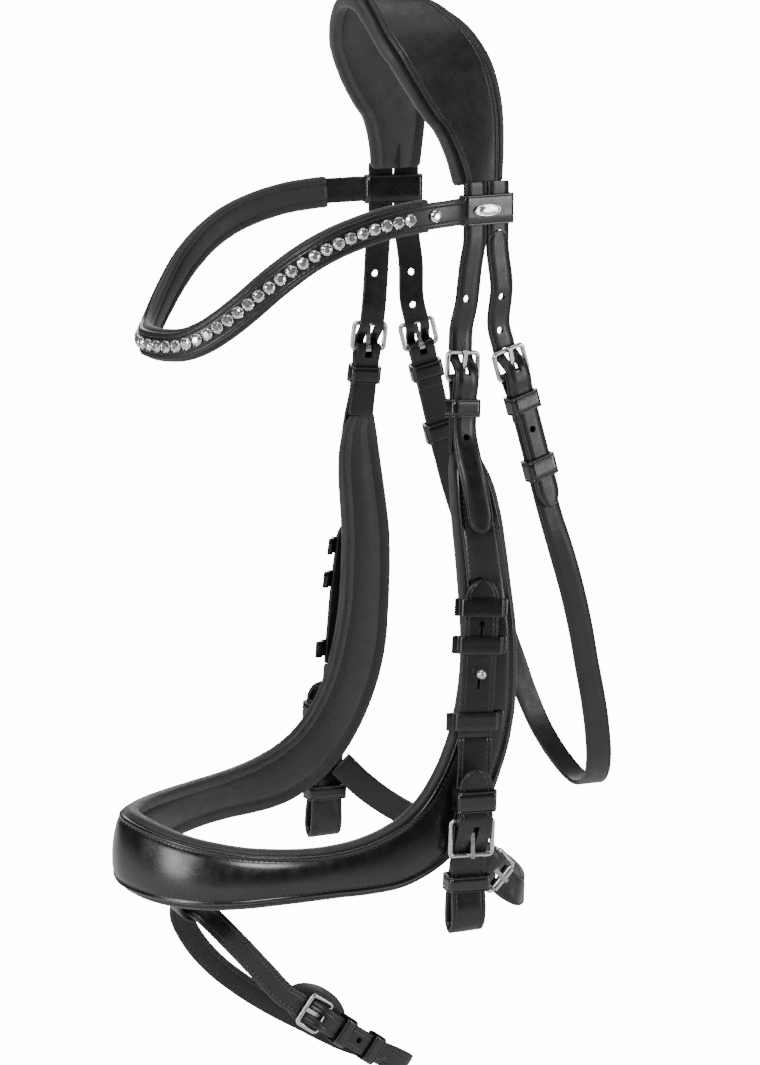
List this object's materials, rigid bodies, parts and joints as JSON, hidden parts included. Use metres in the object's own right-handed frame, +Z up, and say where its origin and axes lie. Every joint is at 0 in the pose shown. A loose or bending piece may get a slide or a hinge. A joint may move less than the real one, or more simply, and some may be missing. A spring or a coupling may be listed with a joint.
{
  "type": "snaffle bridle",
  "caption": "Anatomical snaffle bridle: padded crown, wave browband with stones, wide padded noseband, bit straps, throatlash, jaw strap and flash.",
  "frame": {"origin": "centre of the underside of the crown padding, where the bridle rests on the poll", "axes": "+Z up, -Y towards the nose, +X the horse's left"},
  "size_m": [0.2268, 0.2995, 0.6329],
  "materials": {
    "black_leather": "smooth bridle leather, satin gloss",
    "lining_leather": "soft matte padding leather",
    "steel": "satin stainless fittings",
    "crystal": "clear faceted stones",
    "setting": "polished cup settings"
  },
  "bodies": {
    "headstall": {"crown_leather": "black_leather", "crown_padding": "lining_leather", "billet_roots": "black_leather", "cheek_billet_left": "black_leather", "cheek_billet_right": "black_leather", "cheek_buckle_left": "steel", "cheek_buckle_right": "steel", "cheek_chape_left": "black_leather", "cheek_chape_right": "black_leather", "cheek_keepers": "black_leather", "noseband_padding": "lining_leather", "noseband_leather": "black_leather", "noseband_keepers_left": "black_leather", "noseband_keepers_right": "black_leather", "hook_studs": "steel", "bit_strap_left": "black_leather", "bit_strap_right": "black_leather", "jaw_strap": "black_leather", "jaw_tab": "black_leather", "jaw_buckle": "steel", "flash_loop": "black_leather"},
    "browband": {"browband_leather": "black_leather", "browband_padding": "lining_leather", "browband_loop_left": "black_leather", "browband_loop_right": "black_leather", "browband_crystals": "crystal", "crystal_settings": "setting", "browband_badge": "setting"},
    "throatlash": {"throatlash_billet_left": "black_leather", "throatlash_billet_right": "black_leather", "throatlash_strap": "black_leather", "throatlash_buckle_left": "steel", "throatlash_buckle_right": "steel", "throatlash_keepers": "black_leather"},
    "throatlash_slider_left": {"throatlash_slider_left": "black_leather"},
    "throatlash_slider_right": {"throatlash_slider_right": "black_leather"},
    "bit_fold_left": {"bit_strap_fold_left": "black_leather", "bit_buckle_left": "steel", "bit_chape_left": "black_leather", "bit_keepers_left": "black_leather"},
    "bit_fold_right": {"bit_strap_fold_right": "black_leather", "bit_buckle_right": "steel", "bit_chape_right": "black_leather", "bit_keepers_right": "black_leather"},
    "flash": {"flash_strap": "black_leather", "flash_billet": "black_leather", "flash_buckle": "steel", "flash_safe": "black_leather", "flash_keepers": "black_leather"},
    "cheek_tongue_left": {"cheek_tongue_left": "steel"},
    "cheek_tongue_right": {"cheek_tongue_right": "steel"},
    "throatlash_tongue_left": {"throatlash_tongue_left": "steel"},
    "throatlash_tongue_right": {"throatlash_tongue_right": "steel"},
    "bit_tongue_left": {"bit_tongue_left": "steel"},
    "bit_tongue_right": {"bit_tongue_right": "steel"},
    "jaw_tongue": {"jaw_tongue": "steel"},
    "flash_tongue": {"flash_tongue": "steel"},
    "jaw_roller": {"jaw_roller": "steel"}
  },
  "joints": [
    {"name": "browband_slide", "type": "slide", "parent": "headstall", "child": "browband", "axis": [0, 0, 1], "range_m": [-0.004, 0.003]},
    {"name": "throatlash_swing", "type": "hinge", "parent": "headstall", "child": "throatlash", "pos_m": [0, 0.04344, -0.126], "axis": [1, 0, 0], "range_deg": [-5, 25]},
    {"name": "throatlash_slide_left", "type": "slide", "parent": "throatlash", "child": "throatlash_slider_left", "axis": [-0.04, -0.2621, 0.9642], "range_m": [-0.012, 0.02]},
    {"name": "throatlash_slide_right", "type": "slide", "parent": "throatlash", "child": "throatlash_slider_right", "axis": [0.04, -0.2621, 0.9642], "range_m": [-0.012, 0.02]},
    {"name": "cheek_tongue_left_lift", "type": "hinge", "parent": "headstall", "child": "cheek_tongue_left", "pos_m": [0.0645, 0.0208, -0.2], "axis": [-0.1002, 0.9917, -0.08], "range_deg": [0, 8]},
    {"name": "cheek_tongue_right_lift", "type": "hinge", "parent": "headstall", "child": "cheek_tongue_right", "pos_m": [-0.0645, 0.0208, -0.2], "axis": [-0.1002, -0.9917, 0.08], "range_deg": [0, 8]},
    {"name": "throatlash_tongue_left_lift", "type": "hinge", "parent": "throatlash", "child": "throatlash_tongue_left", "pos_m": [0.0616, 0.0539, -0.2], "axis": [-0.1646, 0.9535, 0.2523], "range_deg": [0, 8]},
    {"name": "throatlash_tongue_right_lift", "type": "hinge", "parent": "throatlash", "child": "throatlash_tongue_right", "pos_m": [-0.0616, 0.0539, -0.2], "axis": [-0.1646, -0.9535, -0.2523], "range_deg": [0, 8]},
    {"name": "bit_tongue_left_lift", "type": "hinge", "parent": "bit_fold_left", "child": "bit_tongue_left", "pos_m": [0.1048, 0.009, -0.439], "axis": [-0.06, -0.9974, 0.0399], "range_deg": [0, 8]},
    {"name": "bit_tongue_right_lift", "type": "hinge", "parent": "bit_fold_right", "child": "bit_tongue_right", "pos_m": [-0.1048, 0.009, -0.439], "axis": [-0.06, 0.9974, -0.0399], "range_deg": [0, 8]},
    {"name": "jaw_tongue_lift", "type": "hinge", "parent": "headstall", "child": "jaw_tongue", "pos_m": [0.0864, 0.0276, -0.4712], "axis": [0.0682, -0.7216, -0.689], "range_deg": [0, 8]},
    {"name": "flash_tongue_lift", "type": "hinge", "parent": "flash", "child": "flash_tongue", "pos_m": [0.025, -0.0465, -0.5727], "axis": [-0.0131, 0.5924, 0.8055], "range_deg": [0, 8]},
    {"name": "jaw_roller_spin", "type": "hinge", "parent": "headstall", "child": "jaw_roller", "pos_m": [0.08395, 0.0377, -0.48202], "axis": [0.0682, -0.7216, -0.689], "continuous": true},
    {"name": "flash_swing", "type": "hinge", "parent": "headstall", "child": "flash", "pos_m": [0, -0.118, -0.5], "axis": [1, 0, 0], "range_deg": [-25, 25]},
    {"name": "bit_flex_left", "type": "hinge", "parent": "headstall", "child": "bit_fold_left", "pos_m": [0.0965, 0.0152, -0.397], "axis": [-0.1002, -0.9917, 0.0801], "range_deg": [0, 20]},
    {"name": "bit_flex_right", "type": "hinge", "parent": "headstall", "child": "bit_fold_right", "pos_m": [-0.0965, 0.0152, -0.397], "axis": [-0.1002, 0.9917, -0.0801], "range_deg": [0, 20]}
  ]
}
